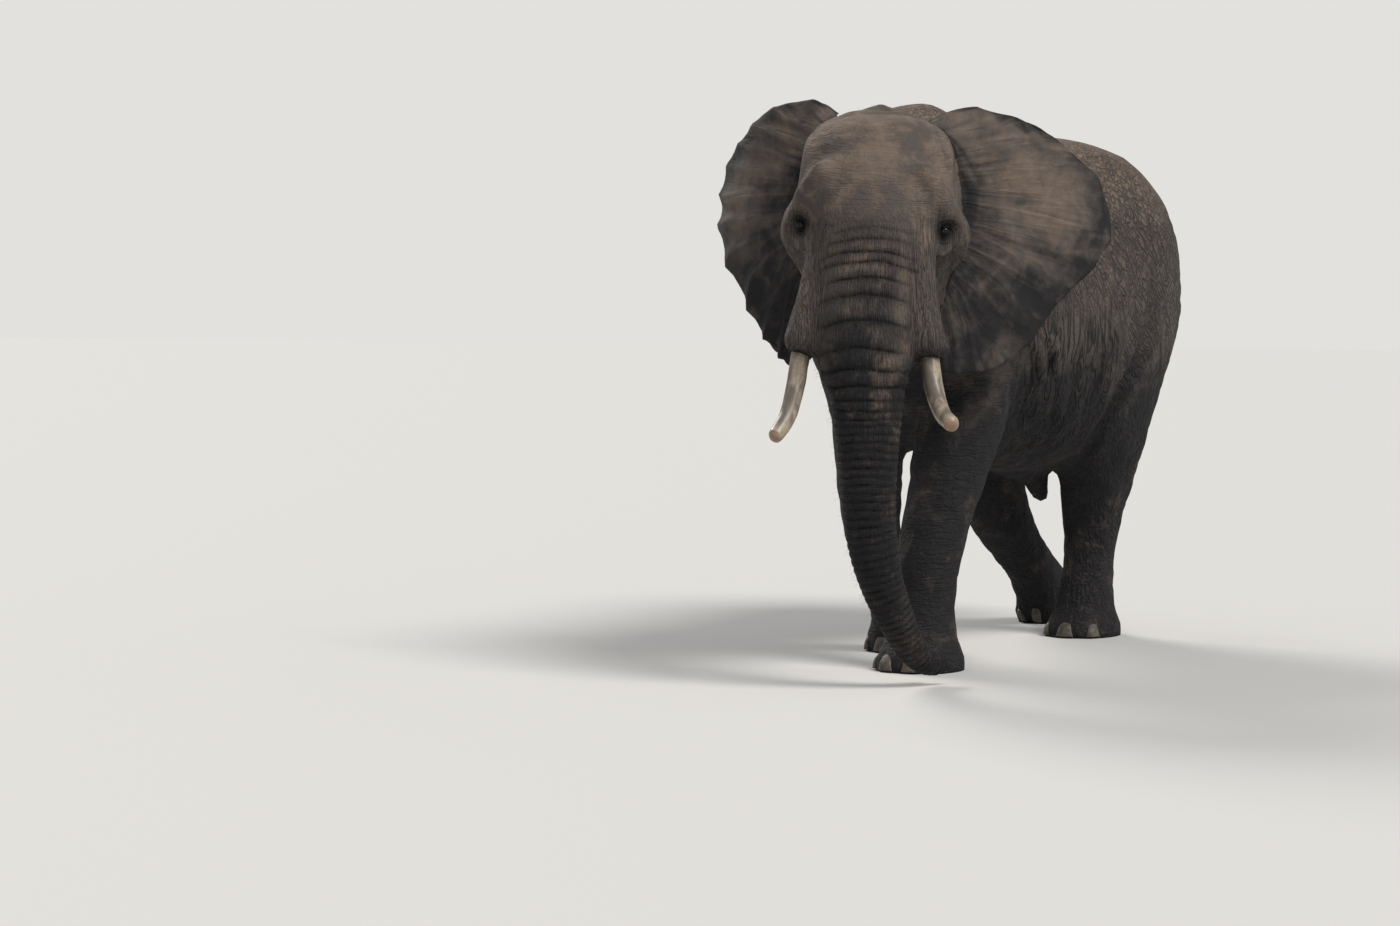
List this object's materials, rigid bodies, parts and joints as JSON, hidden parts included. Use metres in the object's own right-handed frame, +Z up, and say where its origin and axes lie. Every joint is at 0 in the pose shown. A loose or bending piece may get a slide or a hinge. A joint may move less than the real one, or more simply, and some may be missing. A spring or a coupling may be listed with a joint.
{
  "type": "african elephant",
  "caption": "Life-size still model of an African bush elephant bull in mid stride, with spread ears, hanging trunk and short tusks.",
  "frame": {"origin": "on the floor, at the centre of the model's bounding box in plan", "axes": "+Z up, the elephant faces -Y and its left side is towards +X"},
  "size_m": [1.9552, 4.4888, 3.0113],
  "materials": {
    "hide": "dry dusty wrinkled hide",
    "ivory": "worn stained ivory",
    "eye": "wet dark brown",
    "hair": "coarse black hair",
    "nail": "worn horn"
  },
  "bodies": {
    "root": {"torso": "hide", "neck": "hide", "head": "hide", "jaw": "hide", "trunk_upper": "hide", "trunk_middle": "hide", "trunk_lower": "hide", "trunk_tip": "hide", "ear_left": "hide", "ear_right": "hide", "foreleg_left": "hide", "forefoot_left": "hide", "foreleg_right": "hide", "forefoot_right": "hide", "hindleg_left": "hide", "hindfoot_left": "hide", "hindleg_right": "hide", "hindfoot_right": "hide", "sheath": "hide", "tail": "hide", "tusk_left": "ivory", "tusk_right": "ivory", "eye_left": "eye", "eye_right": "eye", "tail_tuft": "hair"}
  },
  "joints": []
}
